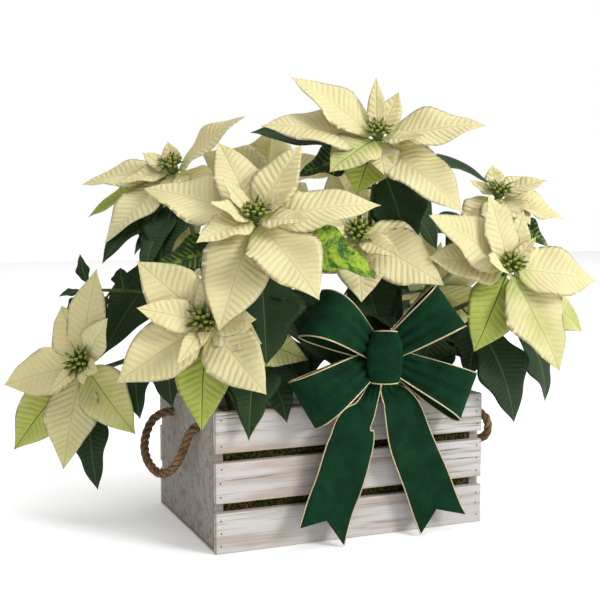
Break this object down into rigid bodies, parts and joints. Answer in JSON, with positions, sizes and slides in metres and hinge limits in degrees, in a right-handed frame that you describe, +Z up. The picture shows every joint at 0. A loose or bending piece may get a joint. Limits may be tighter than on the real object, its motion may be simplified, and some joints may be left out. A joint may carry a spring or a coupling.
{
  "type": "poinsettia arrangement",
  "caption": "Cream poinsettia plants with broad bracts and dark green leaves, packed with moss in a whitewashed slatted wooden crate with rope handles and a green velvet bow.",
  "frame": {"origin": "middle of the crate's underside, on the surface that it stands on", "axes": "+X along the crate's length, -Y towards the bow and the front slats, +Z up"},
  "size_m": [0.6685, 0.4068, 0.5074],
  "materials": {
    "whitewashed_wood": "whitewashed and worn",
    "rope": "twisted jute",
    "pot_plastic": "matte",
    "soil": "crumbly",
    "moss": "fibrous",
    "leaves": "soft satin",
    "bracts": "matte",
    "buds": "satin",
    "velvet_ribbon": "velvet with gold wired edges",
    "pick": "stained"
  },
  "bodies": {
    "root": {"bottom_panel": "whitewashed_wood", "end_board_left": "whitewashed_wood", "end_board_right": "whitewashed_wood", "slat_front_1": "whitewashed_wood", "slat_front_2": "whitewashed_wood", "slat_front_3": "whitewashed_wood", "slat_back_1": "whitewashed_wood", "slat_back_2": "whitewashed_wood", "slat_back_3": "whitewashed_wood", "rope_left": "rope", "rope_right": "rope", "knot_left_back": "rope", "knot_left_front": "rope", "knot_right_back": "rope", "knot_right_front": "rope", "pot_left": "pot_plastic", "pot_right": "pot_plastic", "soil_left": "soil", "soil_right": "soil", "moss": "moss", "plant_front_left": "leaves", "plant_far_left": "leaves", "plant_back_left": "leaves", "plant_middle": "leaves", "plant_front_right": "leaves", "plant_back_right": "leaves", "bloom_front_left": "bracts", "bloom_middle_top": "bracts", "bloom_back_left_top": "bracts", "bloom_front_corner": "bracts", "bloom_far_left": "bracts", "bloom_front_middle": "bracts", "bloom_front_right": "bracts", "bloom_right_top": "bracts", "bloom_back_left": "bracts", "bloom_back_middle": "bracts", "bloom_back_right": "bracts", "bloom_far_right": "bracts", "buds_front_left": "buds", "buds_middle_top": "buds", "buds_back_left_top": "buds", "buds_front_corner": "buds", "buds_far_left": "buds", "buds_front_middle": "buds", "buds_front_right": "buds", "buds_right_top": "buds", "buds_back_left": "buds", "buds_back_middle": "buds", "buds_back_right": "buds", "buds_far_right": "buds", "bow": "velvet_ribbon", "bow_pick": "pick"}
  },
  "joints": []
}
